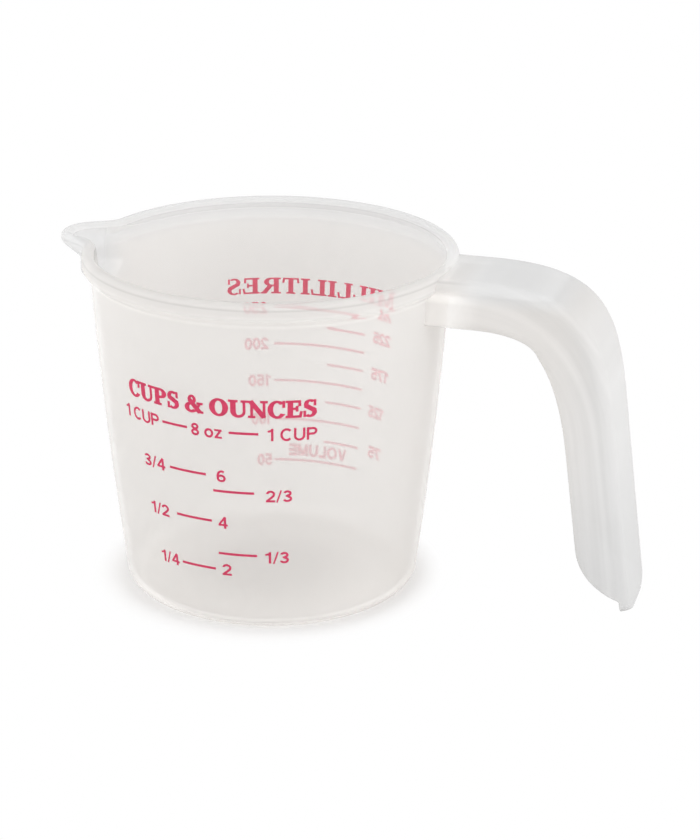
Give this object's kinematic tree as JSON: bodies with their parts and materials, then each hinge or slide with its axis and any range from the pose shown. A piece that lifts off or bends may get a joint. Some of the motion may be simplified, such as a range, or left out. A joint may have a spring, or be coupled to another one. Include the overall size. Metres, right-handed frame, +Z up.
{
  "type": "measuring cup",
  "caption": "Translucent kitchen measuring cup with a tapered round bowl, a rolled rim, a pouring spout, a channel handle and printed graduations.",
  "frame": {"origin": "middle of the flat underside, on the bowl's axis", "axes": "+X towards the handle, -X towards the spout, -Y towards the cup and ounce scale, +Y towards the millilitre scale, +Z up out of the mouth"},
  "size_m": [0.1493, 0.0922, 0.0862],
  "materials": {
    "polypropylene": "milky translucent moulding, satin",
    "ink": "printed ink, crimson"
  },
  "bodies": {
    "root": {"bowl": "polypropylene", "handle": "polypropylene", "mark_cup_1_left": "ink", "mark_cup_1_right": "ink", "mark_cup_3_4": "ink", "mark_cup_2_3": "ink", "mark_cup_1_2": "ink", "mark_cup_1_3": "ink", "mark_cup_1_4": "ink", "mark_ml_50": "ink", "mark_ml_75": "ink", "mark_ml_100": "ink", "mark_ml_125": "ink", "mark_ml_150": "ink", "mark_ml_175": "ink", "mark_ml_200": "ink", "mark_ml_225": "ink", "mark_ml_250": "ink"}
  },
  "joints": []
}
